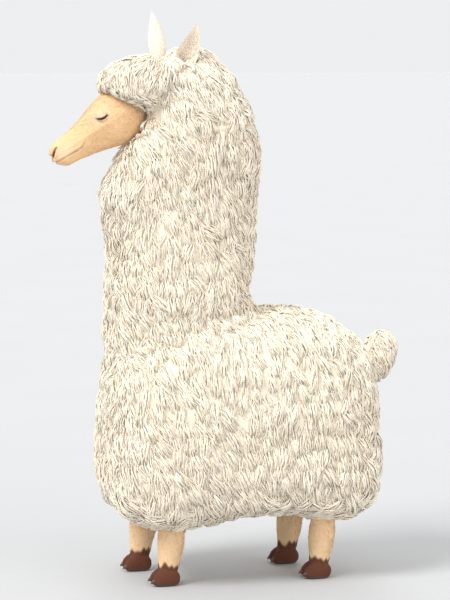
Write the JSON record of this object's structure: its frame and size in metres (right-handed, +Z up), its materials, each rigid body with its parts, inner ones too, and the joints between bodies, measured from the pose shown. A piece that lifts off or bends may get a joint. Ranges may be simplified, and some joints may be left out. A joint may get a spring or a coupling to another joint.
{
  "type": "llama",
  "caption": "Life-size still model of a standing llama in long cream fleece, neck upright, bare tan face, tan shanks and dark brown toed feet.",
  "frame": {"origin": "on the floor, under the middle of the animal's outline", "axes": "+Z up, -Y the way the nose points, +X the animal's left side"},
  "size_m": [0.5814, 1.1439, 1.7996],
  "materials": {
    "fleece": "soft matte wool in locks",
    "face_hair": "short flat hair",
    "shank_hair": "short flat hair",
    "foot_hair": "short flat hair over a leathery pad",
    "nail": "worn horn",
    "eye": "wet and glossy"
  },
  "bodies": {
    "root": {"trunk": "fleece", "neck": "fleece", "topknot": "fleece", "tail": "fleece", "head": "face_hair", "jaw": "face_hair", "ear_left": "fleece", "ear_right": "fleece", "eye_left": "eye", "eye_right": "eye", "leg_front_left": "shank_hair", "leg_front_right": "shank_hair", "leg_hind_left": "shank_hair", "leg_hind_right": "shank_hair", "foot_front_left": "foot_hair", "foot_front_right": "foot_hair", "foot_hind_left": "foot_hair", "foot_hind_right": "foot_hair", "nail_front_left_inner": "nail", "nail_front_left_outer": "nail", "nail_front_right_inner": "nail", "nail_front_right_outer": "nail", "nail_hind_left_inner": "nail", "nail_hind_left_outer": "nail", "nail_hind_right_inner": "nail", "nail_hind_right_outer": "nail"}
  },
  "joints": []
}
